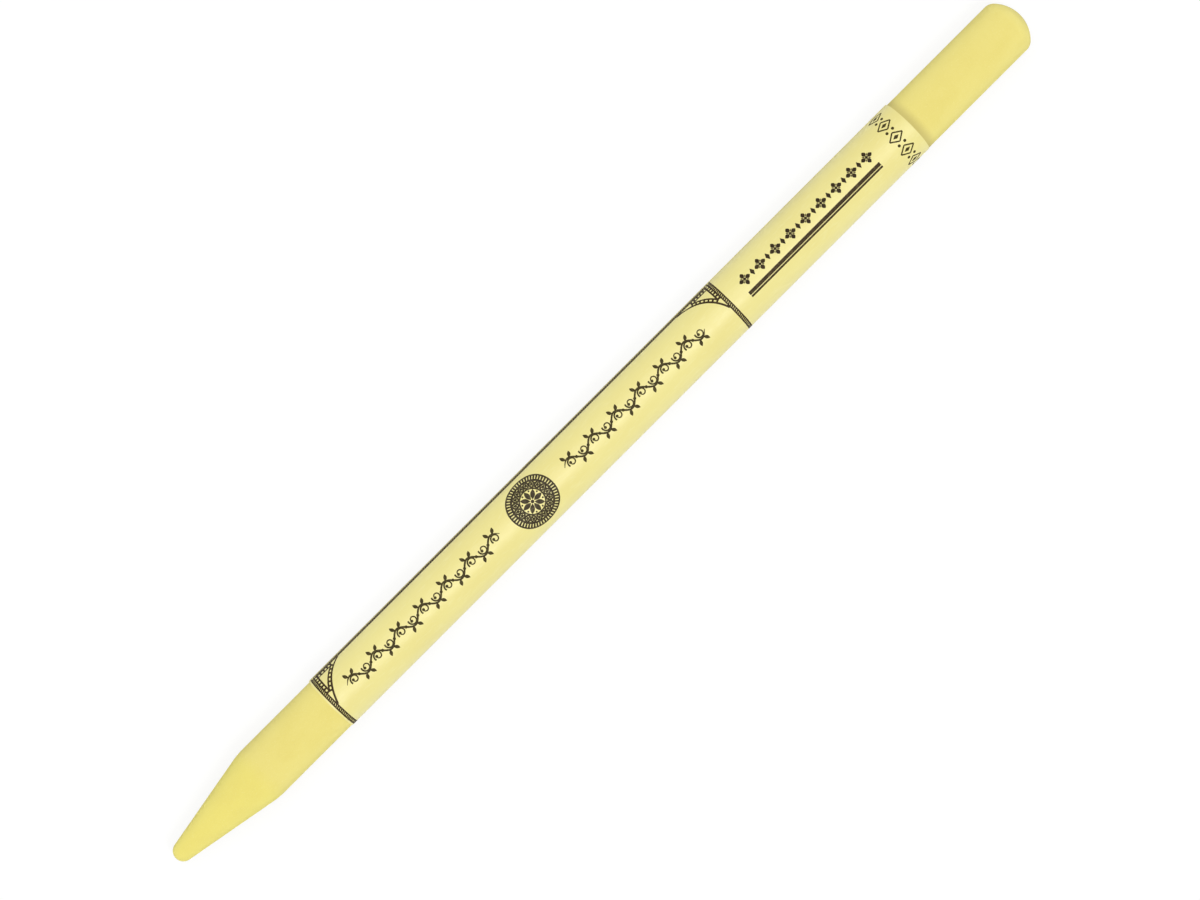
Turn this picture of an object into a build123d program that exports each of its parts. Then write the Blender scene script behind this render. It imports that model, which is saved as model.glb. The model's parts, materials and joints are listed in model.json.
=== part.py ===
from build123d import *
import math
import os

# A woodless pastel crayon, lying on its side. All sizes are in millimetres.
# +X runs along the crayon from the writing point to the butt, +Z is up, and the
# origin is the middle of the footprint, on the surface that the crayon lies on.

# --- the pressed pastel stick -------------------------------------------------
TOTAL_LENGTH = 159.0
STICK_R = 4.0
NOSE_R = 1.42  # blunt round end of the writing point
CONE_LENGTH = 15.5  # from the nose to the shoulder, where the full radius begins
SHOULDER_R = 10.0  # soft rounding between cone and shank
CROWN_R = 5.0  # rounded face of the butt
RIM_R = 1.6  # rounding between that face and the shank

# --- the printed paper label, rolled once round the stick ----------------------
LABEL_START = 29.1  # bare length from the nose to the label
LABEL_LENGTH = 108.7
PAPER = 0.06
PASTE = 0.02

# Angles lie in the cross-section, from +Y towards +Z. The sheet starts under its
# own lap on the +Y side, goes once round, steps up over its starting edge and
# ends just above the height of the axis, so that the seam faces sideways.
LEAD_DEG = -28.0  # starting edge, against the stick
TRAIL_DEG = 366.0  # finishing edge, on top
RAMP_DEG = 11.0  # arc in which the sheet climbs by its own thickness
EDGE_GAP_DEG = 1.0  # paste stops this far short of an edge
END_GAP = 1.0  # and this far short of the label's ends
LAP_ARCS = 12  # short arcs that make up each face of the film inside the lap

# --- worked out from the sizes above -------------------------------------------
INNER_IN = STICK_R + PASTE
INNER_OUT = INNER_IN + PAPER
OUTER_IN = INNER_OUT + PASTE
OUTER_OUT = OUTER_IN + PAPER
RAMP_END_DEG = LEAD_DEG + 360.0 - EDGE_GAP_DEG
RAMP_START_DEG = RAMP_END_DEG - RAMP_DEG

AXIS_HEIGHT = INNER_OUT  # the label's single layer touches the surface
AXIS_Y = -(OUTER_OUT - INNER_OUT) / 2  # the lap makes one side thicker
NOSE_X = -TOTAL_LENGTH / 2
LABEL_X = NOSE_X + LABEL_START
PASTE_LENGTH = LABEL_LENGTH - 2 * END_GAP


def cone_half_angle():
    """Slope of the line that touches the round nose and ends at the shoulder."""
    run = CONE_LENGTH - NOSE_R
    to_shoulder = math.atan2(STICK_R, run)
    return to_shoulder - math.asin(NOSE_R / math.hypot(run, STICK_R))


def on_circle(radius, degrees):
    """Point of the cross-section at a radius and an angle from the axis."""
    angle = math.radians(degrees)
    return (radius * math.cos(angle), radius * math.sin(angle))


def section_plane(x):
    """Plane square to the crayon's axis, its origin on the axis at this x."""
    return Plane(origin=(x, AXIS_Y, AXIS_HEIGHT), x_dir=(0, 1, 0), z_dir=(1, 0, 0))


def pastel_stick():
    """Solid of revolution: blunt nose, cone, shank and crowned butt."""
    slope = cone_half_angle()
    nose_end = (NOSE_R - NOSE_R * math.sin(slope), NOSE_R * math.cos(slope))
    half_turn = (math.pi / 2 - slope) / 2
    nose_mid = (NOSE_R - NOSE_R * math.cos(half_turn), NOSE_R * math.sin(half_turn))
    crown_drop = CROWN_R - math.sqrt(CROWN_R**2 - STICK_R**2)
    rim = (TOTAL_LENGTH - crown_drop, STICK_R)
    shoulder = (CONE_LENGTH, STICK_R)

    with BuildPart() as stick:
        with BuildSketch(Plane.XY) as profile:
            with BuildLine():
                ThreePointArc((0, 0), nose_mid, nose_end)
                Line(nose_end, shoulder)
                Line(shoulder, rim)
                RadiusArc(rim, (TOTAL_LENGTH, 0), CROWN_R)
                Line((TOTAL_LENGTH, 0), (0, 0))
            make_face()
            fillet(profile.vertices().sort_by_distance(shoulder)[0], SHOULDER_R)
            fillet(profile.vertices().sort_by_distance(rim)[0], RIM_R)
        revolve(axis=Axis.X)
    return stick.part.moved(Location((NOSE_X, AXIS_Y, AXIS_HEIGHT)))


def paste_coat():
    """Film of dried paste between the stick and the label, all the way round."""
    with BuildPart() as coat:
        with BuildSketch(section_plane(LABEL_X + END_GAP)):
            Circle(INNER_IN)
            Circle(STICK_R, mode=Mode.SUBTRACT)
        extrude(amount=PASTE_LENGTH)
    return coat.part


def paper_wrapper():
    """One sheet of paper rolled round the stick, with its glued lap."""
    with BuildPart() as wrapper:
        with BuildSketch(section_plane(LABEL_X)):
            with BuildLine():
                once_round = RAMP_START_DEG - LEAD_DEG
                lap = TRAIL_DEG - RAMP_END_DEG
                CenterArc((0, 0), INNER_IN, LEAD_DEG, once_round)
                Line(on_circle(INNER_IN, RAMP_START_DEG), on_circle(OUTER_IN, RAMP_END_DEG))
                CenterArc((0, 0), OUTER_IN, RAMP_END_DEG, lap)
                Line(on_circle(OUTER_IN, TRAIL_DEG), on_circle(OUTER_OUT, TRAIL_DEG))
                CenterArc((0, 0), OUTER_OUT, RAMP_END_DEG, lap)
                Line(on_circle(OUTER_OUT, RAMP_END_DEG), on_circle(INNER_OUT, RAMP_START_DEG))
                CenterArc((0, 0), INNER_OUT, LEAD_DEG, once_round)
                Line(on_circle(INNER_OUT, LEAD_DEG), on_circle(INNER_IN, LEAD_DEG))
            make_face()
        extrude(amount=LABEL_LENGTH)
    return wrapper.part


def lap_paste():
    """Film of dried paste inside the lap, between the sheet's two layers.

    Both faces of so thin a film are the same row of short arcs, so that they stay
    a film's thickness apart however finely they are divided.
    """
    start = LEAD_DEG + EDGE_GAP_DEG
    end = TRAIL_DEG - 360.0 - EDGE_GAP_DEG
    short_arc = (end - start) / LAP_ARCS
    outline = []
    for radius in (INNER_OUT, OUTER_IN):
        for k in range(LAP_ARCS):
            outline.append(CenterArc((0, 0), radius, start + k * short_arc, short_arc))
    for edge in (start, end):
        outline.append(Line(on_circle(INNER_OUT, edge), on_circle(OUTER_IN, edge)))
    plane = section_plane(LABEL_X + END_GAP)
    section = plane * Face(Wire(outline))
    return Solid.extrude(section, plane.z_dir * PASTE_LENGTH)


def main():
    os.makedirs("parts", exist_ok=True)
    pieces = {
        "pastel_stick": pastel_stick(),
        "paste_coat": paste_coat(),
        "paper_wrapper": paper_wrapper(),
        "lap_paste": lap_paste(),
    }
    for name, solid in pieces.items():
        solid.label = name
        export_step(solid, f"parts/{name}.step")
        print(name, "volume", round(solid.volume, 2), "faces", len(solid.faces()))


main()
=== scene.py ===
"""A woodless pastel crayon in its wound paper label: finishes, printed ornament and a plain studio."""

import json
import logging
import math
from dataclasses import dataclass
from enum import Enum
from typing import Callable, Protocol, Sequence

import bmesh
import bpy
from mathutils import Matrix, Vector, noise


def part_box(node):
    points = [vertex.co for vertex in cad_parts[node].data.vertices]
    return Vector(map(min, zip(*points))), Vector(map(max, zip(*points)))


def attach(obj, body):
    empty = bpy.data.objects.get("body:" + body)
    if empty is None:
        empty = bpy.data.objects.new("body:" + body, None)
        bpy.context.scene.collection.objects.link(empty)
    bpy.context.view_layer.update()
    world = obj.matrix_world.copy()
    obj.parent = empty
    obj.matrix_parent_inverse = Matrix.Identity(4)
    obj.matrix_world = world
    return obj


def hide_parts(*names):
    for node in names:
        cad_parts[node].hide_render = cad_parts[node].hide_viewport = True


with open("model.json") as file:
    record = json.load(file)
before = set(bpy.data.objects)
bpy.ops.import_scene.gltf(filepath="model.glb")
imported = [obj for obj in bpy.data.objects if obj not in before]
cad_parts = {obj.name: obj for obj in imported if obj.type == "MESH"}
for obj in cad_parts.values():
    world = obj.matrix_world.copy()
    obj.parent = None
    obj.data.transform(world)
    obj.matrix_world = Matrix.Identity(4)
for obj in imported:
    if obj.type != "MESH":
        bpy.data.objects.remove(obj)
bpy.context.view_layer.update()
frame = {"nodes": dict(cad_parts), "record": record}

MM = 0.001
PER_MM = 1000.0
TURN = 2 * math.pi
UP = Vector((0, 0, 1))
MERGE = MM / 10000
STICK_RADIUS = 4.0 * MM
LOG = logging.getLogger("crayon")

Colour = tuple[float, float, float]
Point = tuple[float, float]
Pair = tuple[float, float]
Mesh = bmesh.types.BMesh
Vert = bmesh.types.BMVert
Edge = bmesh.types.BMEdge
Piece = bpy.types.Object
Material = bpy.types.Material
Socket = bpy.types.NodeSocket


def mount_place(name: str) -> Vector:
    """Place of one of the record's mounts.

    Args:
        name: The mount's name in the record.

    Returns:
        Its position in metres.
    """
    for mount in frame["record"]["mounts"]:
        if mount["name"] == name:
            return Vector(mount["pos_m"])
    raise KeyError(name)


AXIS = mount_place("barrel")
STICK_LOW, STICK_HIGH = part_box("pastel_stick")
LABEL_LOW, LABEL_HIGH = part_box("paper_wrapper")


def linear(colour: Colour) -> tuple[float, float, float, float]:
    """Shader colour for a display colour.

    Args:
        colour: Red, green and blue as a screen shows them, from 0 to 1.

    Returns:
        Linear red, green and blue, and full alpha.
    """
    knee, foot, gain, power = 0.04045, 12.92, 0.055, 2.4
    parts = [c / foot if c <= knee else ((c + gain) / (1 + gain)) ** power for c in colour]
    return (parts[0], parts[1], parts[2], 1.0)


def grey(tone: float) -> tuple[float, float, float, float]:
    """Shader colour of a plain grey, in linear light."""
    return (tone, tone, tone, 1.0)


def on_section(x: float, radius: float, degrees: float) -> Vector:
    """Point beside the crayon's axis.

    Args:
        x: Place along the crayon.
        radius: Distance from the axis.
        degrees: Angle in the cross-section, from +Y towards +Z.

    Returns:
        The point in the crayon's own frame.
    """
    angle = math.radians(degrees)
    return Vector((x, AXIS.y + radius * math.cos(angle), AXIS.z + radius * math.sin(angle)))


def beside(centre: Point, distance: float, angle: float) -> Point:
    """Point at a distance from another one in a plane.

    Args:
        centre: The other point.
        distance: How far it is away.
        angle: Direction, in radians.

    Returns:
        The point.
    """
    return (centre[0] + distance * math.cos(angle), centre[1] + distance * math.sin(angle))


def even(start: float, end: float, steps: int) -> list[float]:
    """Values in even steps.

    Args:
        start: The first value.
        end: The last value.
        steps: Number of steps between them.

    Returns:
        The values, both ends included.
    """
    return [start + (end - start) * k / steps for k in range(steps + 1)]


def only(kind: type, geom: Sequence[object]) -> list:
    """Picks the elements of one kind from what a bmesh operator made.

    Args:
        kind: Vertices, edges or faces.
        geom: What the operator made.

    Returns:
        The elements of that kind.
    """
    return [element for element in geom if isinstance(element, kind)]


def put_in_scene(name: str, data: bpy.types.ID) -> Piece:
    """Makes an object and links it into the scene.

    Args:
        name: The object's name.
        data: Its mesh, lamp or camera.

    Returns:
        The new object.
    """
    thing = bpy.data.objects.new(name, data)
    bpy.context.scene.collection.objects.link(thing)
    return thing


def shaped(name: str, bm: Mesh, material: Material) -> Piece:
    """Turns a bmesh into an object at the origin.

    Args:
        name: The object's name.
        bm: Its finished shape, which is freed.
        material: Its finish.

    Returns:
        The new object.
    """
    mesh = bpy.data.meshes.new(name)
    bm.to_mesh(mesh)
    bm.free()
    mesh.materials.append(material)
    return put_in_scene(name, mesh)


def new_piece(name: str, bm: Mesh, material: Material) -> Piece:
    """Turns a bmesh into a piece that rides on the crayon's one body.

    Args:
        name: The piece's name.
        bm: Its finished shape, which is freed.
        material: Its finish.

    Returns:
        The new piece.
    """
    piece = shaped(name, bm, material)
    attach(piece, "root")
    return piece


@dataclass(frozen=True)
class Grain:
    """Cloudy noise: clouds per millimetre, octaves of finer noise, and stretch along and across."""

    scale: float
    detail: float
    stretch: Pair = (1.0, 1.0)


@dataclass(frozen=True)
class Mottle:
    """Uneven colour: noise at low gives none of it, and noise at high gives the whole share."""

    grain: Grain
    low: float
    high: float
    share: float = 1.0


@dataclass(frozen=True)
class Tooth:
    """Fine relief of a surface, with its depth in metres."""

    grain: Grain
    depth: float


class NodeSheet:
    """A node material in the making, on the piece's own coordinates in millimetres."""

    def __init__(self, name: str) -> None:
        """Starts a material with its Principled shader.

        Args:
            name: The material's name.
        """
        self.material = bpy.data.materials.new(name)
        self.material.use_nodes = True
        self.tree = self.material.node_tree
        self.shader = self.tree.nodes["Principled BSDF"]
        place = self.add("ShaderNodeTexCoord")
        scale = self.add("ShaderNodeMapping")
        scale.inputs["Scale"].default_value = (PER_MM, PER_MM, PER_MM)
        self.join(place.outputs["Object"], scale.inputs["Vector"])
        self.millimetres = scale.outputs["Vector"]

    def add(self, kind: str) -> bpy.types.Node:
        """Adds a node of one kind and returns it."""
        return self.tree.nodes.new(kind)

    def join(self, source: Socket, target: Socket) -> None:
        """Links an output to an input."""
        self.tree.links.new(source, target)

    def texture(self, grain: Grain) -> Socket:
        """Cloudy noise.

        Args:
            grain: Its scale, detail and stretch.

        Returns:
            The noise, from 0 to 1.
        """
        along, across = grain.stretch
        squeeze = self.add("ShaderNodeMapping")
        squeeze.inputs["Scale"].default_value = (1 / along, 1 / across, 1 / across)
        self.join(self.millimetres, squeeze.inputs["Vector"])
        clouds = self.add("ShaderNodeTexNoise")
        clouds.inputs["Scale"].default_value = grain.scale
        clouds.inputs["Detail"].default_value = grain.detail
        self.join(squeeze.outputs["Vector"], clouds.inputs["Vector"])
        return clouds.outputs["Fac"]

    def spread(self, value: Socket, low: float, high: float) -> Socket:
        """Stretches a value so that low becomes 0 and high becomes 1, held at both ends.

        Args:
            value: The value.
            low: What becomes 0.
            high: What becomes 1.

        Returns:
            The new value.
        """
        span = self.add("ShaderNodeMapRange")
        span.interpolation_type = "SMOOTHSTEP"
        span.inputs["From Min"].default_value = low
        span.inputs["From Max"].default_value = high
        self.join(value, span.inputs["Value"])
        return span.outputs["Result"]

    def between(self, share: Socket, low: float, high: float) -> Socket:
        """Turns a share into a value between two others.

        Args:
            share: The share, from 0 to 1.
            low: What 0 becomes.
            high: What 1 becomes.

        Returns:
            The new value.
        """
        span = self.add("ShaderNodeMapRange")
        span.inputs["To Min"].default_value = low
        span.inputs["To Max"].default_value = high
        self.join(share, span.inputs["Value"])
        return span.outputs["Result"]

    def along(self) -> Socket:
        """Place along the crayon, in millimetres."""
        parts = self.add("ShaderNodeSeparateXYZ")
        self.join(self.millimetres, parts.inputs["Vector"])
        return parts.outputs["X"]

    def times(self, first: Socket, second: Socket | float) -> Socket:
        """Product of a value and another value or a number.

        Args:
            first: A value.
            second: A value or a number.

        Returns:
            The product.
        """
        product = self.add("ShaderNodeMath")
        product.operation = "MULTIPLY"
        self.join(first, product.inputs[0])
        if isinstance(second, float):
            product.inputs[1].default_value = second
        else:
            self.join(second, product.inputs[1])
        return product.outputs["Value"]

    def cloud(self, mottle: Mottle) -> Socket:
        """How much of an uneven colour shows at each place.

        Args:
            mottle: The unevenness.

        Returns:
            The share, from 0 to the greatest one.
        """
        spread = self.spread(self.texture(mottle.grain), mottle.low, mottle.high)
        return self.times(spread, mottle.share)

    def tint(self, share: Socket, under: Socket | Colour, over: Colour) -> Socket:
        """Lays one colour over another.

        Args:
            share: How much of the upper colour shows, from 0 to 1.
            under: The lower colour, or a socket that carries it.
            over: The upper colour.

        Returns:
            The mixed colour.
        """
        mix = self.add("ShaderNodeMix")
        mix.data_type = "RGBA"
        self.join(share, mix.inputs["Factor"])
        if isinstance(under, tuple):
            mix.inputs["A"].default_value = linear(under)
        else:
            self.join(under, mix.inputs["A"])
        mix.inputs["B"].default_value = linear(over)
        return mix.outputs["Result"]

    def relief(self, tooth: Tooth, under: Socket | None = None) -> Socket:
        """Fine relief in the surface.

        Args:
            tooth: The relief.
            under: A coarser relief that it lies on.

        Returns:
            The bent normal.
        """
        bump = self.add("ShaderNodeBump")
        bump.inputs["Distance"].default_value = tooth.depth
        self.join(self.texture(tooth.grain), bump.inputs["Height"])
        if under is not None:
            self.join(under, bump.inputs["Normal"])
        return bump.outputs["Normal"]

    def finish(
        self,
        colour: Socket,
        roughness: Socket | float,
        normal: Socket,
        specular: float,
        chalk: float = 0.0,
    ) -> Material:
        """Joins the results to the shader.

        Args:
            colour: Base colour.
            roughness: Roughness, as a value or a number.
            normal: The bent normal.
            specular: Specular level of the clear surface.
            chalk: How powdery the colour is, which keeps it light towards the outline.

        Returns:
            The finished material.
        """
        self.join(colour, self.shader.inputs["Base Color"])
        if isinstance(roughness, float):
            self.shader.inputs["Roughness"].default_value = roughness
        else:
            self.join(roughness, self.shader.inputs["Roughness"])
        self.join(normal, self.shader.inputs["Normal"])
        self.shader.inputs["Specular IOR Level"].default_value = specular
        self.shader.inputs["Diffuse Roughness"].default_value = chalk
        return self.material


@dataclass(frozen=True)
class PressedPastel:
    """Matte, powdery finish of the pressed pastel stick.

    The cone is a little yellower. A band on the bare stick beside the label's butt end and the
    last stretch of the butt end are darkened as painted shade; the dark specks share that colour.
    Places and lengths along the crayon are in millimetres.
    """

    body: Colour = (0.940, 0.897, 0.555)
    deep: Colour = (0.916, 0.865, 0.495)
    dust: Colour = (0.965, 0.934, 0.660)
    # Colour of the random dark specks, also used as painted shade beside the label and at the butt end.
    speck_and_painted_shade: Colour = (0.805, 0.755, 0.475)
    cone_tone: Colour = (0.943, 0.903, 0.520)
    cone_from: float = -62.0
    cone_blend: float = 3.0
    clouds: Mottle = Mottle(Grain(0.35, 4.0, (1.6, 1.0)), 0.40, 0.75, 0.35)
    powder: Mottle = Mottle(Grain(5.5, 6.0), 0.52, 0.80, 0.45)
    specks: Mottle = Mottle(Grain(9.0, 2.0), 0.66, 0.78, 0.40)
    label_end: float = LABEL_HIGH.x * PER_MM
    # Painted shade on the bare stick beside the label's butt end: its width in millimetres and its strength.
    label_shade_width: float = 1.65
    label_shade_share: float = 0.75
    butt_end: float = STICK_HIGH.x * PER_MM
    # Painted shade at the butt's end: the length it darkens, in millimetres, and its strength.
    butt_shade_length: float = 1.3
    butt_shade_share: float = 0.50
    swells: Tooth = Tooth(Grain(1.4, 3.0), 0.03 * MM)
    tooth: Tooth = Tooth(Grain(8.0, 5.0), 0.012 * MM)
    roughness: float = 0.92
    specular: float = 0.12
    chalk: float = 0.8

    def material(self) -> Material:
        """Builds the pastel material.

        Returns:
            The material.
        """
        sheet = NodeSheet("pressed_pastel")
        along = sheet.along()
        cone = sheet.spread(along, self.cone_from, self.cone_from - self.cone_blend)
        base = sheet.tint(cone, self.body, self.cone_tone)
        base = sheet.tint(sheet.cloud(self.clouds), base, self.deep)
        base = sheet.tint(sheet.cloud(self.powder), base, self.dust)
        base = sheet.tint(sheet.cloud(self.specks), base, self.speck_and_painted_shade)
        # Painted shade: darkens the bare stick just past the label's butt end, fading over the width.
        near_label = sheet.spread(along, self.label_end + self.label_shade_width, self.label_end)
        butt_half = sheet.spread(along, 0.0, 1.0)
        band = sheet.times(near_label, butt_half)
        base = sheet.tint(sheet.times(band, self.label_shade_share), base, self.speck_and_painted_shade)
        # Painted shade: darkens the last stretch of the butt end.
        butt_shade = sheet.spread(along, self.butt_end - self.butt_shade_length, self.butt_end)
        base = sheet.tint(sheet.times(butt_shade, self.butt_shade_share), base, self.speck_and_painted_shade)
        fine = sheet.relief(self.tooth, sheet.relief(self.swells))
        return sheet.finish(base, self.roughness, fine, self.specular, self.chalk)


@dataclass(frozen=True)
class LabelPaper:
    """Thin satin paper of the label."""

    body: Colour = (0.940, 0.907, 0.612)
    shade: Colour = (0.925, 0.883, 0.570)
    fleck: Colour = (0.960, 0.935, 0.695)
    clouds: Mottle = Mottle(Grain(0.22, 3.0, (2.5, 1.0)), 0.35, 0.70, 0.5)
    fibres: Mottle = Mottle(Grain(3.0, 4.0, (4.0, 1.0)), 0.50, 0.78, 0.45)
    cockle: Tooth = Tooth(Grain(0.30, 2.0), 0.04 * MM)
    tooth: Tooth = Tooth(Grain(7.0, 4.0, (3.0, 1.0)), 0.004 * MM)
    wear: Grain = Grain(0.8, 3.0)
    glossy: float = 0.36
    worn: float = 0.50
    specular: float = 0.66
    chalk: float = 0.85

    def material(self) -> Material:
        """Builds the paper material.

        Returns:
            The material.
        """
        sheet = NodeSheet("label_paper")
        base = sheet.tint(sheet.cloud(self.clouds), self.body, self.shade)
        base = sheet.tint(sheet.cloud(self.fibres), base, self.fleck)
        fine = sheet.relief(self.tooth, sheet.relief(self.cockle))
        roughness = sheet.between(sheet.texture(self.wear), self.glossy, self.worn)
        return sheet.finish(base, roughness, fine, self.specular, self.chalk)


@dataclass(frozen=True)
class DriedPaste:
    """Amber film of the paste that holds the label."""

    body: Colour = (0.860, 0.800, 0.600)
    dark: Colour = (0.760, 0.690, 0.470)
    clouds: Mottle = Mottle(Grain(1.5, 4.0, (3.0, 1.0)), 0.35, 0.70)
    bubbles: Tooth = Tooth(Grain(6.0, 3.0), 0.006 * MM)
    roughness: float = 0.40
    specular: float = 0.45

    def material(self) -> Material:
        """Builds the paste material.

        Returns:
            The material.
        """
        sheet = NodeSheet("dried_paste")
        base = sheet.tint(sheet.cloud(self.clouds), self.body, self.dark)
        return sheet.finish(base, self.roughness, sheet.relief(self.bubbles), self.specular)


@dataclass(frozen=True)
class PrintingInk:
    """Brown-black ink, uneven where the press has starved it."""

    name: str
    body: Colour = (0.225, 0.175, 0.090)
    thin: Colour = (0.360, 0.305, 0.190)
    starved: Mottle = Mottle(Grain(2.2, 5.0), 0.45, 0.80)
    tooth: Tooth = Tooth(Grain(9.0, 3.0), 0.003 * MM)
    roughness: float = 0.62
    specular: float = 0.18

    def material(self) -> Material:
        """Builds the ink material.

        Returns:
            The material.
        """
        sheet = NodeSheet(self.name)
        base = sheet.tint(sheet.cloud(self.starved), self.body, self.thin)
        return sheet.finish(base, self.roughness, sheet.relief(self.tooth), self.specular)


@dataclass
class PastelStick:
    """The pressed stick: blunt nose, cone, soft shoulder, shank and crowned butt.

    It is worn in broad hollows and in pits. The noise behind each has a scale per metre, and
    each takes a share of the wear. Pits form only where their noise is over the pit floor. What
    the label covers stays unworn, and so does a margin beside it.
    """

    radius: float = STICK_RADIUS
    nose_radius: float = 1.42 * MM
    cone_length: float = 15.5 * MM
    shoulder_radius: float = 10.0 * MM
    crown_radius: float = 5.0 * MM
    rim_radius: float = 1.6 * MM
    nose_steps: int = 14
    shoulder_steps: int = 10
    rim_steps: int = 14
    crown_steps: int = 18
    bare_step: float = 0.45 * MM
    covered_step: float = 4.0 * MM
    around: int = 192
    wear: float = 0.035 * MM
    hollow_scale: float = 0.45 * PER_MM
    hollow_share: float = 0.5
    pit_scale: float = 1.9 * PER_MM
    pit_share: float = 0.9
    pit_floor: float = 0.25
    unworn: float = 0.5 * MM
    weld: float = 0.001 * MM

    def _arc(self, bm: Mesh, last: Vert, centre: Point, degrees: float, steps: int) -> Vert:
        """Carries the profile on by an arc.

        Args:
            bm: The profile.
            last: Its last point.
            centre: Place along the crayon and height of the arc's centre.
            degrees: Turn about the centre, positive from +X towards the outside.
            steps: Number of short edges.

        Returns:
            The profile's new last point.
        """
        made = bmesh.ops.spin(
            bm,
            geom=[last],
            cent=(centre[0], 0, centre[1]),
            axis=(0, -1, 0),
            angle=math.radians(degrees),
            steps=steps,
        )
        return only(Vert, made["geom_last"])[0]

    def _line(self, bm: Mesh, last: Vert, end: Point, step: float) -> Vert:
        """Carries the profile on by a straight run.

        Args:
            bm: The profile.
            last: Its last point.
            end: Place along the crayon and height where the run ends.
            step: Longest edge.

        Returns:
            The profile's new last point.
        """
        run = Vector((end[0], 0, end[1])) - last.co
        count = max(1, math.ceil(run.length / step))
        for _ in range(count):
            last = bmesh.ops.extrude_vert_indiv(bm, verts=[last])["verts"][0]
            bmesh.ops.translate(bm, verts=[last], vec=run / count)
        return last

    def _profile(self, bm: Mesh) -> None:
        """Draws the half profile from the nose to the butt, along X with its height along Z.

        Args:
            bm: An empty bmesh.
        """
        tip, butt = STICK_LOW.x, STICK_HIGH.x
        run = self.cone_length - self.nose_radius
        slope = math.atan2(self.radius, run) - math.asin(self.nose_radius / math.hypot(run, self.radius))
        bend = self.shoulder_radius * math.tan(slope / 2)
        shoulder = tip + self.cone_length
        bend_start = (shoulder - bend * math.cos(slope), self.radius - bend * math.sin(slope))
        rim_height = self.radius - self.rim_radius
        rim_reach = self.crown_radius - self.rim_radius
        crown = butt - self.crown_radius
        rim = crown + math.sqrt(rim_reach**2 - rim_height**2)
        rim_turn = math.degrees(math.acos(rim_height / rim_reach))

        last = bm.verts.new((tip, 0, 0))
        nose = (tip + self.nose_radius, 0)
        last = self._arc(bm, last, nose, -(90 - math.degrees(slope)), self.nose_steps)
        last = self._line(bm, last, bend_start, self.bare_step)
        bend_centre = (shoulder + bend, self.radius - self.shoulder_radius)
        last = self._arc(bm, last, bend_centre, -math.degrees(slope), self.shoulder_steps)
        last = self._line(bm, last, (LABEL_LOW.x, self.radius), self.bare_step)
        last = self._line(bm, last, (LABEL_HIGH.x, self.radius), self.covered_step)
        last = self._line(bm, last, (rim, self.radius), self.bare_step)
        last = self._arc(bm, last, (rim, rim_height), -rim_turn, self.rim_steps)
        self._arc(bm, last, (crown, 0), -(90 - rim_turn), self.crown_steps)

    def _weather(self, bm: Mesh) -> None:
        """Sinks the bare surface a little, unevenly, and never raises it.

        Args:
            bm: The turned stick.
        """
        for vert in bm.verts:
            if LABEL_LOW.x - self.unworn <= vert.co.x <= LABEL_HIGH.x + self.unworn:
                continue
            hollow = max(0.0, noise.noise(vert.co * self.hollow_scale))
            pit = max(0.0, noise.noise(vert.co * self.pit_scale + UP) - self.pit_floor)
            depth = self.wear * (self.hollow_share * hollow + self.pit_share * pit)
            outward = vert.co - Vector((vert.co.x, AXIS.y, AXIS.z))
            if outward.length > depth:
                vert.co -= outward.normalized() * depth

    def build(self, finish: PressedPastel) -> Piece:
        """Makes the stick.

        Args:
            finish: Its finish.

        Returns:
            The piece that stands for the stick's solid.
        """
        bm = bmesh.new()
        self._profile(bm)
        bmesh.ops.spin(
            bm,
            geom=bm.verts[:] + bm.edges[:],
            cent=(0, 0, 0),
            axis=(1, 0, 0),
            angle=TURN,
            steps=self.around,
            use_merge=True,
        )
        bmesh.ops.remove_doubles(bm, verts=bm.verts, dist=self.weld)
        bmesh.ops.translate(bm, verts=bm.verts, vec=(0, AXIS.y, AXIS.z))
        self._weather(bm)
        bmesh.ops.recalc_face_normals(bm, faces=bm.faces)
        for face in bm.faces:
            face.smooth = True
        piece = new_piece("stick", bm, finish.material())
        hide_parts("pastel_stick")
        return piece


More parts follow.
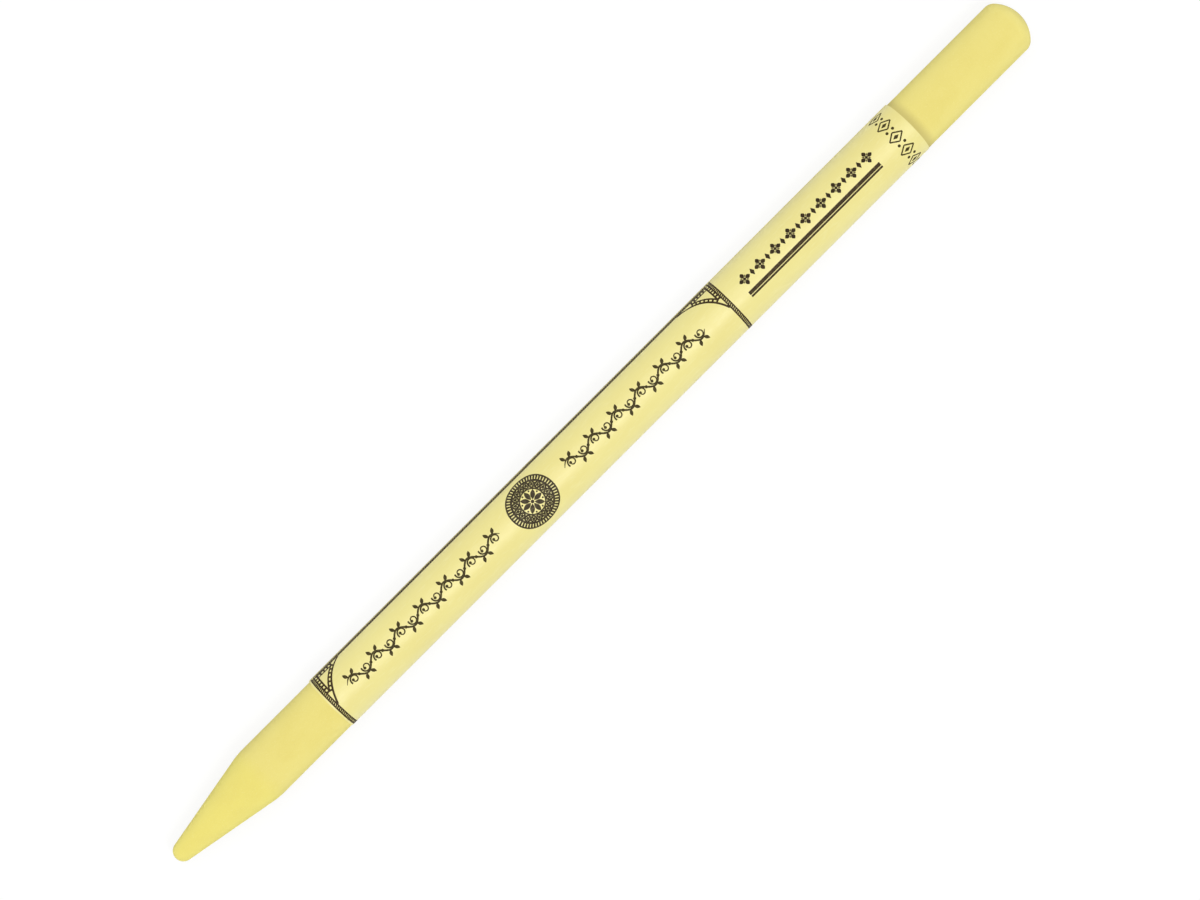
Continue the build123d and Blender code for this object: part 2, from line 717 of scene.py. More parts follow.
@dataclass
class PaperLabel:
    """The sheet rolled once round the stick, and the unrolled plane that its print is laid out on.

    On the unrolled sheet x runs along the crayon and s round it, from the line that faces up
    towards +Y. Section angles are degrees from +Y towards +Z: the sheet starts at lead, climbs
    over its own start from ramp_start to ramp_end, and ends at trail.
    """

    stick_radius: float = STICK_RADIUS
    paste: float = 0.02 * MM
    paper: float = 0.06 * MM
    lead: float = -28.0
    trail: float = 366.0
    ramp_start: float = 320.0
    ramp_end: float = 331.0
    facing: float = 90.0
    step: float = 1.5
    length_step: float = 2.0 * MM
    sharp_angle: float = 40.0

    @property
    def print_radius(self) -> float:
        """Radius of the single layer's outside, which s is measured on."""
        return self.stick_radius + self.paste + self.paper

    @property
    def first_s(self) -> float:
        """Where the printed side ends, at the finishing edge."""
        return math.radians(self.facing - self.trail) * self.print_radius

    @property
    def last_s(self) -> float:
        """Where the printed side begins to show, beside the finishing edge."""
        return self.first_s + TURN * self.print_radius

    def climb(self, degrees: float) -> float:
        """How far the sheet stands off its first layer.

        Args:
            degrees: Angle along the sheet.

        Returns:
            Nothing on the first layer, and paper and paste on the lap.
        """
        share = (degrees - self.ramp_start) / (self.ramp_end - self.ramp_start)
        return min(1.0, max(0.0, share)) * (self.paper + self.paste)

    def rolled(self, x: float, s: float, height: float) -> Vector:
        """Point over the printed face.

        Args:
            x: Place along the crayon.
            s: Place round it.
            height: Height over the paper.

        Returns:
            The point in the crayon's own frame.
        """
        degrees = self.facing - math.degrees(s / self.print_radius)
        return on_section(x, self.print_radius + self.climb(degrees) + height, degrees)

    def build(self, finish: LabelPaper) -> Piece:
        """Makes the sheet.

        Args:
            finish: Its finish.

        Returns:
            The piece that stands for the label's solid.
        """
        bm = bmesh.new()
        inner = self.stick_radius + self.paste
        last = bm.verts.new(on_section(LABEL_LOW.x, inner, self.lead))
        steps = round((self.trail - self.lead) / self.step)
        for degrees in even(self.lead, self.trail, steps)[1:]:
            last = bmesh.ops.extrude_vert_indiv(bm, verts=[last])["verts"][0]
            last.co = on_section(LABEL_LOW.x, inner + self.climb(degrees), degrees)
        edges = bm.edges[:]
        length = LABEL_HIGH.x - LABEL_LOW.x
        rows = round(length / self.length_step)
        for _ in range(rows):
            made = bmesh.ops.extrude_edge_only(bm, edges=edges)["geom"]
            edges = only(Edge, made)
            bmesh.ops.translate(bm, verts=only(Vert, made), vec=(length / rows, 0, 0))
        bm.normal_update()
        probe = bm.faces[:][0]
        middle = probe.calc_center_median()
        outward = middle - Vector((middle.x, AXIS.y, AXIS.z))
        if probe.normal.dot(outward) > 0:
            bmesh.ops.reverse_faces(bm, faces=bm.faces)
        bmesh.ops.solidify(bm, geom=bm.faces[:], thickness=self.paper)
        for face in bm.faces:
            face.smooth = True
        piece = new_piece("label", bm, finish.material())
        piece.data.set_sharp_from_angle(angle=math.radians(self.sharp_angle))
        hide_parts("paper_wrapper")
        return piece


class InkSheet:
    """Flat ink on the unrolled label, which is then thickened and rolled on.

    The ink reaches from its root, in the paper, to its top. Each new motif lies one level higher
    than the last, and after all levels the count starts again. Along a leaf the width follows
    half a wave to the power of leaf_swell, and is never under leaf_end of the greatest width.
    """

    top: float = 0.008 * MM
    root: float = -0.010 * MM
    level: float = 0.0004 * MM
    levels: int = 5
    bend_step: float = 0.2 * MM
    leaf_end: float = 0.06
    leaf_swell: float = 0.85

    def __init__(self, label: PaperLabel) -> None:
        """Starts an empty sheet.

        Args:
            label: The label that it is printed on.
        """
        self.label = label
        self.bm = bmesh.new()
        self.lift = self.bm.verts.layers.float.new("lift")
        self.count = 0

    def _raise(self, verts: Sequence[Vert]) -> None:
        """Gives a new motif its own height, so that crossing motifs don't share a face.

        Args:
            verts: The motif's vertices.
        """
        self.count += 1
        for vert in verts:
            vert[self.lift] = self.level * (self.count % self.levels)

    def ribbon(self, points: Sequence[Point], widths: Sequence[float], closed: bool = False) -> None:
        """Lays a line of ink.

        Args:
            points: Its middle line.
            widths: Its width at each point, or one width.
            closed: Whether the end runs back into the start.
        """
        line = [Vector((p[0], p[1], 0)) for p in points]
        count = len(line)
        verts: list[Vert] = []
        edge = None
        for k in range(count + 1 if closed else count):
            here = line[k % count]
            before = line[(k - 1) % count] if closed or k > 0 else here
            after = line[(k + 1) % count] if closed or k < count - 1 else here
            across = (after - before).cross(UP).normalized()
            half = across * (widths[k % count] if len(widths) > 1 else widths[0]) / 2
            if edge is None:
                pair = [self.bm.verts.new(here + half), self.bm.verts.new(here - half)]
                edge = self.bm.edges.new(pair)
            else:
                made = bmesh.ops.extrude_edge_only(self.bm, edges=[edge])["geom"]
                pair = only(Vert, made)
                edge = [side for side in only(Edge, made) if set(side.verts) == set(pair)][0]
                old = verts[-2:]
                if (pair[0].co - old[0].co).length > (pair[0].co - old[1].co).length:
                    pair.reverse()
                pair[0].co, pair[1].co = here + half, here - half
            verts += pair
        self._raise(verts)
        if closed:
            bmesh.ops.remove_doubles(self.bm, verts=verts, dist=MERGE)

    def spot(self, centre: Point, size: Pair, sides: int = 10) -> None:
        """Lays a filled spot.

        Args:
            centre: Its middle.
            size: Its length and breadth.
            sides: Number of sides; four make a lozenge.
        """
        place = Matrix.Translation((centre[0], centre[1], 0))
        place = place @ Matrix.Diagonal((size[0] / 2, size[1] / 2, 1, 1))
        made = bmesh.ops.create_circle(self.bm, cap_ends=True, segments=sides, radius=1.0, matrix=place)
        self._raise(made["verts"])

    def dot(self, centre: Point, size: float) -> None:
        """Lays a round spot."""
        self.spot(centre, (size, size))

    def leaf(self, start: Point, end: Point, width: float, bow: float = 0.0, steps: int = 8) -> None:
        """Lays a pointed leaf.

        Args:
            start: Where it joins its stem.
            end: Its point.
            width: Its greatest width.
            bow: How far its middle is drawn to the left of the straight line.
            steps: Number of cells along it.
        """
        a, b = Vector(start), Vector(end)
        side = Vector((-(b - a).y, (b - a).x)).normalized() * bow
        points = []
        widths = []
        for t in even(0.0, 1.0, steps):
            swell = math.sin(math.pi * t)
            points.append(tuple(a.lerp(b, t) + side * swell))
            widths.append(width * max(self.leaf_end, swell**self.leaf_swell))
        self.ribbon(points, widths)

    def roll_on(self, name: str, material: Material) -> Piece:
        """Thickens the ink, rolls it on to the label and makes it a piece.

        Args:
            name: The piece's name.
            material: The ink.

        Returns:
            The new piece.
        """
        bm = self.bm
        low = min(v.co.y for v in bm.verts)
        high = max(v.co.y for v in bm.verts)
        for k in range(math.ceil(low / self.bend_step), math.floor(high / self.bend_step) + 1):
            cut = (0, k * self.bend_step, 0)
            geom = bm.verts[:] + bm.edges[:] + bm.faces[:]
            bmesh.ops.bisect_plane(bm, geom=geom, dist=MERGE, plane_co=cut, plane_no=(0, 1, 0))
        made = bmesh.ops.extrude_face_region(bm, geom=bm.faces[:])
        raised = set(only(Vert, made["geom"]))
        for vert in bm.verts:
            height = self.top + vert[self.lift] if vert in raised else self.root
            vert.co = self.label.rolled(vert.co.x, vert.co.y, height)
        bmesh.ops.recalc_face_normals(bm, faces=bm.faces)
        return new_piece(name, bm, material)


class Motif(Protocol):
    """Anything that can be printed on the label."""

    def draw(self, sheet: InkSheet) -> None:
        """Lays the motif on a sheet of ink."""


class Run(Enum):
    """Direction in which a band runs on the unrolled label."""

    ALONG = "along"
    ROUND = "round"


@dataclass(frozen=True)
class RopeBand:
    """Two rails with a twisted rope between them.

    The strands bite into each rail by a part of its width.
    """

    run: Run
    start: float
    end: float
    edge: float
    width: float
    rail: float = 0.20 * MM
    pitch: float = 0.32 * MM
    strand: float = 0.20 * MM
    slant: float = 0.16 * MM
    bite: float = 0.2
    cells: int = 4

    def _at(self, way: float, across: float) -> Point:
        """Point of the band.

        Args:
            way: Distance along the band, in the label's x or s.
            across: Distance from its edge.

        Returns:
            The point on the unrolled label.
        """
        if self.run is Run.ALONG:
            return (way, self.edge + across)
        return (self.edge + across, way)

    def draw(self, sheet: InkSheet) -> None:
        """Lays the band.

        Args:
            sheet: The sheet of ink.
        """
        ways = even(self.start, self.end, round((self.end - self.start) / InkSheet.bend_step))
        for across in (self.rail / 2, self.width - self.rail / 2):
            sheet.ribbon([self._at(way, across) for way in ways], [self.rail])
        low = self.rail * (1 - self.bite)
        high = self.width - low
        strands = math.floor((self.end - self.start - 2 * self.slant) / self.pitch)
        for n in range(strands):
            middle = self.start + self.slant + (n + 0.5) * self.pitch
            points = []
            for t in even(0.0, 1.0, self.cells):
                sway = self.slant * math.sin((t - 0.5) * math.pi) / 2
                points.append(self._at(middle + sway, low + (high - low) * t))
            sheet.ribbon(points, [self.strand])


@dataclass(frozen=True)
class Arch:
    """A spandrel's arch, centred at distances from the ring and from the border."""

    centre: Point
    radius: float


@dataclass(frozen=True)
class Spandrel:
    """Corner ornament of the printed frame: a beaded arch and the bare triangle behind it.

    Its own coordinates are the distances into the panel from the ring and from the border. The
    face line and the ends of each tie are heavier than the other lines, by the two weights.
    """

    ring_x: float
    into_x: int
    border_s: float
    into_s: int
    arch: Arch
    line: float = 0.24 * MM
    band: float = 0.48 * MM
    ring_gap: float = 0.40 * MM
    border_gap: float = 0.54 * MM
    bead: float = 0.58 * MM
    face_weight: float = 1.15
    bead_weight: float = 1.7
    face_steps: int = 32
    inner_steps: int = 24

    def _at(self, a: float, b: float) -> Point:
        """Point of the unrolled label.

        Args:
            a: Distance from the ring.
            b: Distance from the border.

        Returns:
            The point's x and s.
        """
        return (self.ring_x + self.into_x * a, self.border_s + self.into_s * b)

    def _line(self, sheet: InkSheet, points: Sequence[Point], width: float) -> None:
        """Lays a line of one width through points in the spandrel's own coordinates."""
        sheet.ribbon([self._at(*p) for p in points], [width])

    def _sweep(self, radius: float, least_a: float, least_b: float) -> Pair:
        """Angles between which an arc about the arch's centre keeps off the ring and the border.

        Args:
            radius: The arc's radius.
            least_a: Distance from the ring where it starts.
            least_b: Distance from the border where it ends.

        Returns:
            The first and the last angle.
        """
        first = math.acos((self.arch.centre[0] - least_a) / radius)
        final = math.asin((self.arch.centre[1] - least_b) / radius)
        return (first, final)

    def _on_arc(self, radius: float, angle: float) -> Point:
        """Point of an arc about the arch's centre, on the side of the corner."""
        return beside(self.arch.centre, -radius, angle)

    def _tie(self, sheet: InkSheet, start: Point, end: Point) -> None:
        """Lays the waisted bar between two beads.

        Args:
            sheet: The sheet of ink.
            start: One end, in the spandrel's own coordinates.
            end: The other end.
        """
        middle = ((start[0] + end[0]) / 2, (start[1] + end[1]) / 2)
        heavy = self.line * self.bead_weight
        sheet.ribbon([self._at(*start), self._at(*middle), self._at(*end)], [heavy, self.line, heavy])

    def draw(self, sheet: InkSheet) -> None:
        """Lays the spandrel.

        Args:
            sheet: The sheet of ink.
        """
        face = self.arch.radius
        inner = face + self.band
        face_ends = self._sweep(face, 0.0, 0.0)
        first, final = self._sweep(inner, self.ring_gap, self.border_gap)
        face_arc = [self._on_arc(face, angle) for angle in even(*face_ends, self.face_steps)]
        inner_arc = [self._on_arc(inner, angle) for angle in even(first, final, self.inner_steps)]
        corner = (self.ring_gap, self.border_gap)
        down, over = inner_arc[0], inner_arc[-1]
        self._line(sheet, face_arc, self.line * self.face_weight)
        self._line(sheet, inner_arc, self.line)
        self._line(sheet, [down, corner], self.line)
        self._line(sheet, [corner, over], self.line)

        for angle in even(first, final, round((final - first) * face / self.bead)):
            self._tie(sheet, self._on_arc(face, angle), self._on_arc(inner, angle))
        for b in even(corner[1], down[1], round((down[1] - corner[1]) / self.bead)):
            self._tie(sheet, (0.0, b), (self.ring_gap, b))
        for a in even(corner[0], over[0], round((over[0] - corner[0]) / self.bead)):
            self._tie(sheet, (a, 0.0), (a, self.border_gap))


@dataclass(frozen=True)
class VineRow:
    """A wavy stem with a curl and two leaves in each bend.

    Apart from the counts, numbers without a unit are parts of something: a leaf's root of a bend,
    its reach of a bend along the crayon and of its own length outwards, the curl's shift of a
    bend and of the swing, its reach and closing of the swing, and all weights of the stem's
    width. The stem's weight grows by stem_growth with each step from an end. The curl's angles
    are degrees.
    """

    start: float
    end: float
    middle: float
    bends: int
    swing: float = 0.70 * MM
    stem: float = 0.26 * MM
    stem_end: float = 0.3
    stem_growth: float = 0.12
    stem_steps: int = 12
    knot: float = 0.44 * MM
    leaf_length: float = 1.34 * MM
    leaf_width: float = 0.48 * MM
    leaf_bow: float = 0.06 * MM
    leaf_root: float = 0.12
    back_leaf: Pair = (-0.20, 0.62)
    front_leaf: Pair = (0.26, 0.55)
    curl_shift: float = 0.10
    curl_reach: float = 0.98
    curl_closing: float = 0.62
    curl_from: float = 205.0
    curl_turn: float = 400.0
    curl_weight: float = 0.90
    curl_thinning: float = 0.30
    curl_steps: int = 18
    curl_end: float = 0.42 * MM

    @property
    def pitch(self) -> float:
        """Length of one bend."""
        return (self.end - self.start) / self.bends

    def _stem_at(self, x: float) -> Point:
        """Point of the stem's middle line at a place along the crayon."""
        share = (x - self.start) / (self.end - self.start)
        return (x, self.middle + self.swing * math.sin(math.pi * self.bends * share))

    def _curl(self, sheet: InkSheet, x: float, side: int) -> None:
        """Lays the curl that fills one bend.

        Args:
            sheet: The sheet of ink.
            x: Middle of the bend.
            side: 1 for a bend towards +s, -1 for the other way.
        """
        centre = (x + self.curl_shift * self.pitch, self.middle - side * self.curl_shift * self.swing)
        points = []
        widths = []
        for t in even(0.0, 1.0, self.curl_steps):
            reach = self.swing * (self.curl_reach - self.curl_closing * t)
            angle = side * (math.radians(self.curl_from) - t * math.radians(self.curl_turn))
            points.append(beside(centre, reach, angle))
            widths.append(self.stem * (self.curl_weight - self.curl_thinning * t))
        sheet.ribbon(points, widths)
        sheet.dot(points[-1], self.curl_end)

    def _leaf(self, sheet: InkSheet, x: float, side: int, way: int, reach: Pair) -> None:
        """Lays one leaf of a bend.

        Args:
            sheet: The sheet of ink.
            x: Middle of the bend.
            side: 1 for a bend towards +s, -1 for the other way.
            way: 1 for the leaf towards the butt, -1 for the other one.
            reach: How far its point lies from its root, along and outwards.
        """
        root = self._stem_at(x + way * self.leaf_root * self.pitch)
        tip = (root[0] + reach[0] * self.pitch, root[1] + reach[1] * side * self.leaf_length)
        sheet.leaf(root, tip, self.leaf_width, -way * side * self.leaf_bow)

    def draw(self, sheet: InkSheet) -> None:
        """Lays the row.

        Args:
            sheet: The sheet of ink.
        """
        count = self.bends * self.stem_steps
        weights = [min(1.0, self.stem_end + self.stem_growth * min(k, count - k)) for k in range(count + 1)]
        stem = [self._stem_at(x) for x in even(self.start, self.end, count)]
        sheet.ribbon(stem, [self.stem * weight for weight in weights])
        for n in range(self.bends):
            side = 1 if n % 2 == 0 else -1
            middle = self.start + (n + 0.5) * self.pitch
            self._curl(sheet, middle, side)
            self._leaf(sheet, middle, side, -1, self.back_leaf)
            self._leaf(sheet, middle, side, 1, self.front_leaf)
            if n:
                sheet.dot(self._stem_at(self.start + n * self.pitch), self.knot)


@dataclass(frozen=True)
class Medallion:
    """Round engine-turned rosette.

    From the outside in: a rim, teeth, a ring, two crossed waves on fine hatching, a ring, and
    petals round a heart. Apart from the counts, numbers without a unit are parts of the radius.
    """

    centre: Point
    radius: float = 3.77 * MM
    rim: float = 0.22 * MM
    line: float = 0.23 * MM
    rings: Pair = (0.78, 0.47)
    circle_steps: int = 72
    teeth: int = 52
    tooth: Pair = (0.79, 0.95)
    tooth_widths: Pair = (0.22 * MM, 0.29 * MM)
    hatches: int = 5
    hatch: float = 0.09 * MM
    hatched: Pair = (0.50, 0.77)
    waves: int = 9
    wave_middle: float = 0.625
    wave_height: float = 0.12
    wave_steps: int = 144
    wave_dot: float = 0.40 * MM
    petals: int = 8
    petal: Pair = (0.08, 0.44)
    petal_width: float = 0.66 * MM
    between: float = 0.39
    between_dot: float = 0.26 * MM
    heart_dot: float = 0.50 * MM

    def _at(self, share: float, angle: float) -> Point:
        """Point at a share of the radius and an angle."""
        return beside(self.centre, share * self.radius, angle)

    def _loop(self, sheet: InkSheet, share: Callable[[float], float], width: float, steps: int) -> None:
        """Lays a closed line whose distance from the centre follows a function.

        Args:
            sheet: The sheet of ink.
            share: Share of the radius for an angle.
            width: The line's width.
            steps: Number of short edges.
        """
        angles = even(0.0, TURN, steps)[:-1]
        sheet.ribbon([self._at(share(angle), angle) for angle in angles], [width], closed=True)

    def _circle(self, sheet: InkSheet, share: float, width: float) -> None:
        """Lays a ring at a share of the radius."""
        self._loop(sheet, lambda angle: share, width, self.circle_steps)

    def _wave(self, sheet: InkSheet, phase: float) -> None:
        """Lays one of the crossed waves.

        Args:
            sheet: The sheet of ink.
            phase: Where it starts in its swing, in radians.
        """

        def share(angle: float) -> float:
            """Share of the radius at an angle."""
            return self.wave_middle + self.wave_height * math.sin(self.waves * angle + phase)

        self._loop(sheet, share, self.line, self.wave_steps)

    def draw(self, sheet: InkSheet) -> None:
        """Lays the medallion.

        Args:
            sheet: The sheet of ink.
        """
        self._circle(sheet, 1 - self.rim / 2 / self.radius, self.rim)
        for share in self.rings:
            self._circle(sheet, share, self.line)
        for k in range(self.teeth):
            angle = TURN * (k + 0.5) / self.teeth
            sheet.ribbon([self._at(share, angle) for share in self.tooth], self.tooth_widths)
        inner, outer = self.hatched
        for k in range(self.hatches):
            self._circle(sheet, inner + (outer - inner) * (k + 0.5) / self.hatches, self.hatch)
        for phase in (0.0, math.pi):
            self._wave(sheet, phase)
        for k in range(2 * self.waves):
            sheet.dot(self._at(self.wave_middle, math.pi * (k + 0.5) / self.waves), self.wave_dot)
        for k in range(self.petals):
            angle = TURN * k / self.petals
            start, end = self.petal
            sheet.leaf(self._at(start, angle), self._at(end, angle), self.petal_width)
            sheet.dot(self._at(self.between, angle + math.pi / self.petals), self.between_dot)
        sheet.dot(self.centre, self.heart_dot)


@dataclass(frozen=True)
class FloretRow:
    """Widely spaced four-petalled florets with lozenges between them.

    Apart from the counts, numbers without a unit are parts of the row's height. A petal and a
    sepal have the distances from the floret's middle where they start and end.
    """

    start: float
    end: float
    low: float
    high: float
    florets: int = 9
    petals: int = 4
    petal: Pair = (0.10, 0.50)
    petal_width: float = 0.32
    sepal: Pair = (0.12, 0.34)
    sepal_width: float = 0.08
    heart: float = 0.22
    lozenge: Pair = (0.34, 0.60)

    def _floret(self, sheet: InkSheet, centre: Point, size: float) -> None:
        """Lays one floret.

        Args:
            sheet: The sheet of ink.
            centre: Its middle.
            size: Its breadth.
        """
        for k in range(self.petals):
            angle = TURN * k / self.petals
            start, end = (beside(centre, share * size, angle) for share in self.petal)
            sheet.leaf(start, end, self.petal_width * size)
            angle += TURN / 2 / self.petals
            start, end = (beside(centre, share * size, angle) for share in self.sepal)
            sheet.leaf(start, end, self.sepal_width * size)
        sheet.dot(centre, self.heart * size)

    def draw(self, sheet: InkSheet) -> None:
        """Lays the row.

        Args:
            sheet: The sheet of ink.
        """
        size = self.high - self.low
        middle = (self.low + self.high) / 2
        pitch = (self.end - self.start - size) / (self.florets - 1)
        lozenge = (self.lozenge[0] * size, self.lozenge[1] * size)
        for n in range(self.florets):
            x = self.start + size / 2 + n * pitch
            self._floret(sheet, (x, middle), size)
            if n < self.florets - 1:
                sheet.spot((x + pitch / 2, middle), lozenge, sides=4)


@dataclass(frozen=True)
class DoubleRule:
    """A thick rule with a thin one beneath it, each between two places round the label."""

    start: float
    end: float
    thick: Pair = (-1.12 * MM, -0.60 * MM)
    thin: Pair = (-1.52 * MM, -1.23 * MM)

    def draw(self, sheet: InkSheet) -> None:
        """Lays both rules.

        Args:
            sheet: The sheet of ink.
        """
        for low, high in (self.thick, self.thin):
            middle = (low + high) / 2
            sheet.ribbon([(self.start, middle), (self.end, middle)], [high - low])


@dataclass(frozen=True)
class LozengeRing:
    """Open lozenges and dots, all the way round the label.

    Breadth is a part of the pitch, and the dots' place and the heart are parts of half a lozenge.
    """

    low_x: float
    high_x: float
    first_s: float
    last_s: float
    lozenges: int = 11
    line: float = 0.20 * MM
    breadth: float = 0.33
    heart: Pair = (0.9, 0.7)
    dot_place: float = 0.45
    dot: float = 0.44 * MM

    def draw(self, sheet: InkSheet) -> None:
        """Lays the ring.

        Args:
            sheet: The sheet of ink.
        """
        middle = (self.low_x + self.high_x) / 2
        long = (self.high_x - self.low_x) / 2
        pitch = (self.last_s - self.first_s) / self.lozenges
        wide = pitch * self.breadth
        for n in range(self.lozenges):
            s = self.first_s + (n + 0.5) * pitch
            corners = [(middle - long, s), (middle, s - wide), (middle + long, s), (middle, s + wide)]
            for corner, following in zip(corners, corners[1:] + corners[:1]):
                sheet.ribbon([corner, following], [self.line])
            sheet.spot((middle, s), (self.heart[0] * long, self.heart[1] * wide), sides=4)
            if n < self.lozenges - 1:
                for step in (-self.dot_place, self.dot_place):
                    sheet.dot((middle + step * long, s + pitch / 2), self.dot)


@dataclass
class LabelPrint:
    """Everything printed on the label, each part on its own sheet of ink.

    The border has the places round the label where it starts and ends on the front. The back row
    lies back_shift short of the mirror image, about the seam, of the line that faces up.
    """

    label: PaperLabel
    frame_ink: PrintingInk = PrintingInk("frame_ink")
    heavy_ink: PrintingInk = PrintingInk("heavy_ink", body=(0.160, 0.115, 0.035), thin=(0.270, 0.215, 0.110))
    olive_ink: PrintingInk = PrintingInk("olive_ink", body=(0.240, 0.205, 0.085), thin=(0.340, 0.300, 0.165))
    grey_ink: PrintingInk = PrintingInk("grey_ink", body=(0.245, 0.215, 0.150), thin=(0.390, 0.355, 0.270))
    lower_ring: float = LABEL_LOW.x + 0.26 * MM
    middle_ring: float = LABEL_LOW.x + 74.60 * MM
    ring_width: float = 0.66 * MM
    border: Pair = (4.84 * MM, 5.88 * MM)
    border_rail: float = 0.29 * MM
    border_strand: float = 0.26 * MM
    edge_gap: float = 0.05 * MM
    upper_arch: Arch = Arch(centre=(7.42 * MM, 7.69 * MM), radius=7.855 * MM)
    lower_arch: Arch = Arch(centre=(10.46 * MM, 9.14 * MM), radius=11.05 * MM)
    front_row: float = 0.10 * MM
    back_shift: float = 0.04 * MM

    def _one(self, name: str, ink: Material, *parts: Motif) -> Piece:
        """Draws parts on one sheet and rolls it on.

        Args:
            name: The piece's name.
            ink: Its material.
            parts: What is drawn.

        Returns:
            The new piece.
        """
        sheet = InkSheet(self.label)
        for part in parts:
            part.draw(sheet)
        return sheet.roll_on(name, ink)

    def _all_round(self) -> Pair:
        """Where what runs all round the label starts and ends, just clear of the seam."""
        return (self.label.first_s + self.edge_gap, self.label.last_s - self.edge_gap)

    def _frame(self, ink: Material) -> list[Piece]:
        """Makes the panel's frame: rings, borders and spandrels, mirrored about the seam.

        Args:
            ink: Their material.

        Returns:
            The pieces.
        """
        front_low, front_high = self.border
        lap_low = self.label.first_s + (self.label.last_s - front_high)
        lap_high = self.label.first_s + (self.label.last_s - front_low)
        panel = self.lower_ring + self.ring_width

        def ring(x: float) -> RopeBand:
            """Rope ring at a place along the crayon."""
            return RopeBand(Run.ROUND, *self._all_round(), x, self.ring_width)

        def border(s: float) -> RopeBand:
            """Heavy rope border at a place round the crayon, from ring to ring."""
            wide, rail, strand = front_high - front_low, self.border_rail, self.border_strand
            return RopeBand(Run.ALONG, panel, self.middle_ring, s, wide, rail, strand=strand)

        spandrels = [
            Spandrel(self.middle_ring, -1, front_low, -1, self.upper_arch),
            Spandrel(panel, 1, front_low, -1, self.lower_arch),
            Spandrel(self.middle_ring, -1, lap_high, 1, self.upper_arch),
            Spandrel(panel, 1, lap_high, 1, self.lower_arch),
        ]
        return [
            self._one("ring_point_end", ink, ring(self.lower_ring)),
            self._one("ring_middle", ink, ring(self.middle_ring)),
            self._one("border_front", ink, border(front_low)),
            self._one("border_lap", ink, border(lap_low)),
            self._one("spandrels", ink, *spandrels),
        ]

    def build(self) -> list[Piece]:
        """Makes every printed piece.

        Returns:
            The pieces.
        """
        frame_ink = self.frame_ink.material()
        heavy_ink = self.heavy_ink.material()
        olive_ink = self.olive_ink.material()
        grey_ink = self.grey_ink.material()
        front = self.front_row
        back = self.label.first_s + self.label.last_s - self.back_shift
        first, last = self._all_round()
        point_vine = VineRow(start=-46.9 * MM, end=-18.5 * MM, middle=front, bends=13)
        butt_vine = VineRow(start=-6.3 * MM, end=19.8 * MM, middle=front, bends=12)
        back_vine = VineRow(start=-36.0 * MM, end=10.6 * MM, middle=back, bends=21)
        medallion = Medallion(centre=(-12.44 * MM, 0.01 * MM))
        florets = FloretRow(start=27.3 * MM, end=52.0 * MM, low=0.06 * MM, high=1.93 * MM)
        rule = DoubleRule(start=27.3 * MM, end=51.8 * MM)
        lozenges = LozengeRing(low_x=54.6 * MM, high_x=56.9 * MM, first_s=first, last_s=last)
        return self._frame(frame_ink) + [
            self._one("vine_point_side", olive_ink, point_vine),
            self._one("vine_butt_side", olive_ink, butt_vine),
            self._one("vine_back", olive_ink, back_vine),
            self._one("medallion", grey_ink, medallion),
            self._one("florets", heavy_ink, florets),
            self._one("double_rule", frame_ink, rule),
            self._one("lozenge_ring", olive_ink, lozenges),
        ]


@dataclass(frozen=True)
class Lamp:
    """A soft round lamp: tilt from overhead towards -Y in degrees, share of the light, diameter."""

    name: str
    tilt: float
    share: float
    size: float


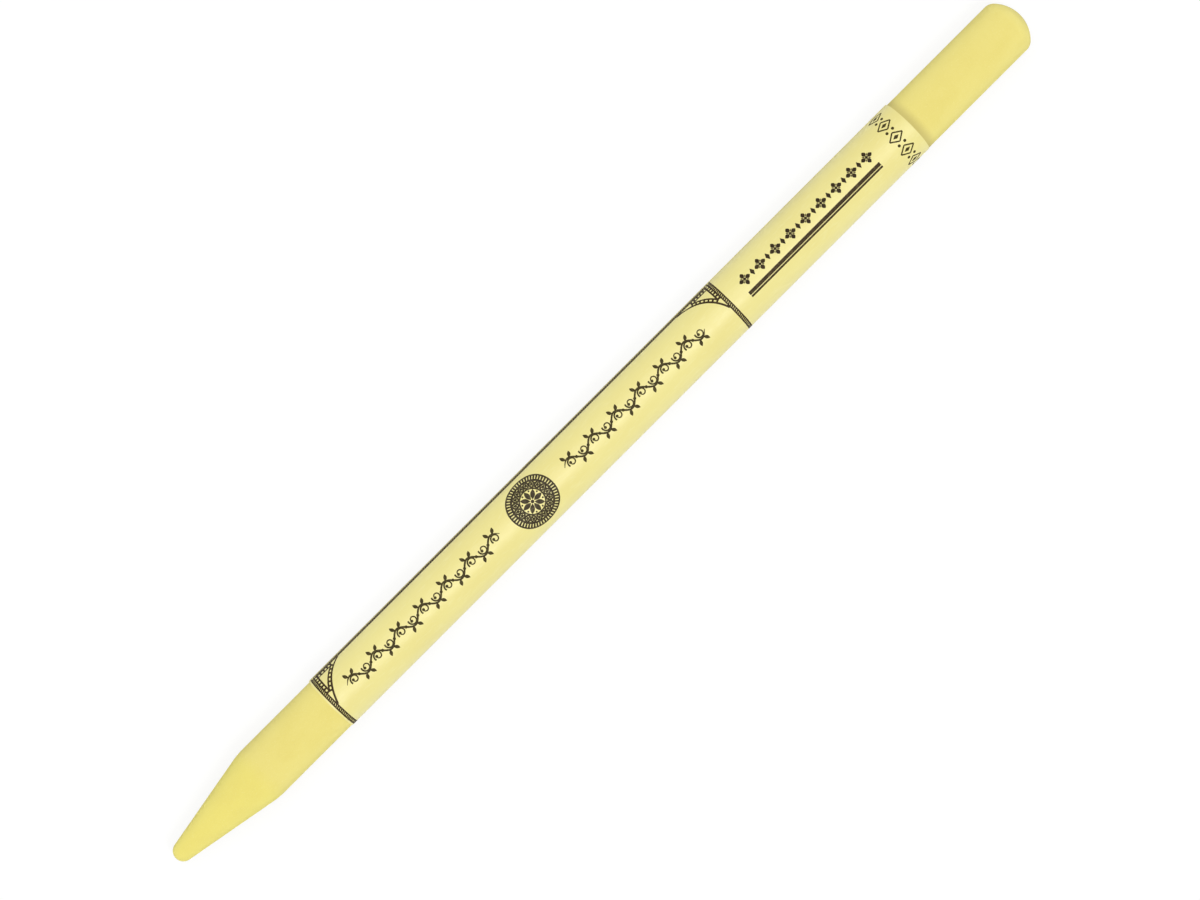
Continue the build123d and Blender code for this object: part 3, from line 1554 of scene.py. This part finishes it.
@dataclass
class Studio:
    """Plain pale floor, soft even light and the camera above the crayon.

    The camera's height is over the crayon's axis. A lamp with a share of 1 makes a white matte
    surface that faces it render as white. The floor lights the crayon by its tone. What is seen
    of it is a glow and a faint matte shade, which add up to floor_white in the open.
    """

    lens: float = 123.3
    sensor: float = 36.0
    nearest: float = 0.01
    farthest: float = 20.0
    camera_place: tuple[float, float, float] = (-10.75 * MM, -1.52 * MM, 547.6 * MM)
    aim_x: float = -1.25 * MM
    picture_up: tuple[float, float, float] = (1.0, 1.0, 0.0)
    sky: float = 0.465
    lamp_distance: float = 1.2
    overhead: Lamp = Lamp("overhead", tilt=-7.0, share=0.36, size=1.00)
    glint: Lamp = Lamp("glint", tilt=20.0, share=0.27, size=0.34)
    floor_size: float = 4.0
    floor_drop: float = 0.02 * MM
    floor_tone: float = 0.57
    floor_shade: float = 0.19
    floor_white: float = 1.02

    def _camera(self) -> None:
        """Places the camera, with the crayon running up to the right."""
        data = bpy.data.cameras.new("camera")
        data.lens = self.lens
        data.sensor_width = self.sensor
        data.sensor_fit = "HORIZONTAL"
        data.clip_start = self.nearest
        data.clip_end = self.farthest
        camera = put_in_scene("camera", data)
        place = Vector((self.camera_place[0], self.camera_place[1], AXIS.z + self.camera_place[2]))
        aim = Vector((self.aim_x, place.y, AXIS.z))
        back = (place - aim).normalized()
        right = Vector(self.picture_up).normalized().cross(back).normalized()
        turn = Matrix((right, back.cross(right), back)).transposed().to_4x4()
        camera.matrix_world = Matrix.Translation(place) @ turn
        bpy.context.scene.camera = camera

    def _surface(self, tree: bpy.types.NodeTree, light: Socket, look: Socket, output: str) -> None:
        """Lights the scene by one shader and shows another where something is looked at.

        Args:
            tree: The node tree.
            light: The shader that lights.
            look: The shader that is seen straight, in a gloss or through glass.
            output: The name of the tree's output node.
        """
        path = tree.nodes.new("ShaderNodeLightPath")
        seen = path.outputs["Is Camera Ray"]
        for kind in ("Is Glossy Ray", "Is Transmission Ray"):
            either = tree.nodes.new("ShaderNodeMath")
            either.operation = "MAXIMUM"
            tree.links.new(seen, either.inputs[0])
            tree.links.new(path.outputs[kind], either.inputs[1])
            seen = either.outputs["Value"]
        mix = tree.nodes.new("ShaderNodeMixShader")
        tree.links.new(seen, mix.inputs["Fac"])
        tree.links.new(light, mix.inputs[1])
        tree.links.new(look, mix.inputs[2])
        tree.links.new(mix.outputs["Shader"], tree.nodes[output].inputs["Surface"])

    def _world(self) -> None:
        """Gives an even pale sky, white where it is seen."""
        world = bpy.data.worlds.new("sky")
        world.use_nodes = True
        bpy.context.scene.world = world
        tree = world.node_tree
        sky = tree.nodes["Background"]
        sky.inputs["Color"].default_value = grey(1.0)
        sky.inputs["Strength"].default_value = self.sky
        white = tree.nodes.new("ShaderNodeBackground")
        white.inputs["Color"].default_value = grey(1.0)
        self._surface(tree, sky.outputs["Background"], white.outputs["Background"], "World Output")

    def _hang(self, lamp: Lamp) -> None:
        """Hangs a lamp that faces the crayon.

        Args:
            lamp: The lamp.
        """
        data = bpy.data.lights.new(lamp.name, "AREA")
        data.shape = "DISK"
        data.size = lamp.size
        data.energy = lamp.share * (math.pi * self.lamp_distance) ** 2
        light = put_in_scene(lamp.name, data)
        tilt = math.radians(lamp.tilt)
        away = Vector((0, -math.sin(tilt), math.cos(tilt)))
        light.location = Vector((0, AXIS.y, AXIS.z)) + away * self.lamp_distance
        light.rotation_euler = away.to_track_quat("Z", "Y").to_euler()

    def _floor(self) -> None:
        """Lays the floor, which looks white and keeps a faint shadow."""
        material = bpy.data.materials.new("floor_white")
        material.use_nodes = True
        tree = material.node_tree
        paint = tree.nodes["Principled BSDF"]
        paint.inputs["Base Color"].default_value = grey(self.floor_tone)
        paint.inputs["Roughness"].default_value = 1.0
        paint.inputs["Specular IOR Level"].default_value = 0.0
        shade = tree.nodes.new("ShaderNodeBsdfDiffuse")
        shade.inputs["Color"].default_value = grey(self.floor_shade)
        glow = tree.nodes.new("ShaderNodeEmission")
        glow.inputs["Strength"].default_value = self.floor_white - self.floor_shade
        both = tree.nodes.new("ShaderNodeAddShader")
        tree.links.new(shade.outputs["BSDF"], both.inputs[0])
        tree.links.new(glow.outputs["Emission"], both.inputs[1])
        self._surface(tree, paint.outputs["BSDF"], both.outputs["Shader"], "Material Output")
        bm = bmesh.new()
        bmesh.ops.create_grid(bm, x_segments=1, y_segments=1, size=self.floor_size / 2)
        bmesh.ops.translate(bm, verts=bm.verts, vec=(0, 0, -self.floor_drop))
        shaped("floor", bm, material)

    def build(self) -> None:
        """Sets up camera, light and floor."""
        self._camera()
        self._world()
        self._hang(self.overhead)
        self._hang(self.glint)
        self._floor()
        bpy.context.scene.view_settings.view_transform = "Standard"


def dress_paste(finish: DriedPaste) -> list[Piece]:
    """Gives the two paste films their finish.

    Args:
        finish: The finish.

    Returns:
        The two films.
    """
    material = finish.material()
    films = [frame["nodes"]["paste_coat"], frame["nodes"]["lap_paste"]]
    for film in films:
        film.data.materials.clear()
        film.data.materials.append(material)
    return films


def main() -> None:
    """Builds the crayon piece by piece and reports each, then sets up the studio."""
    logging.basicConfig(level=logging.INFO, format="%(name)s %(message)s")
    label = PaperLabel()
    pieces = [PastelStick().build(PressedPastel()), label.build(LabelPaper())]
    pieces += dress_paste(DriedPaste())
    pieces += LabelPrint(label).build()
    for piece in pieces:
        LOG.info("%s: %d faces", piece.name, len(piece.data.polygons))
    Studio().build()


if __name__ == "__main__":
    main()
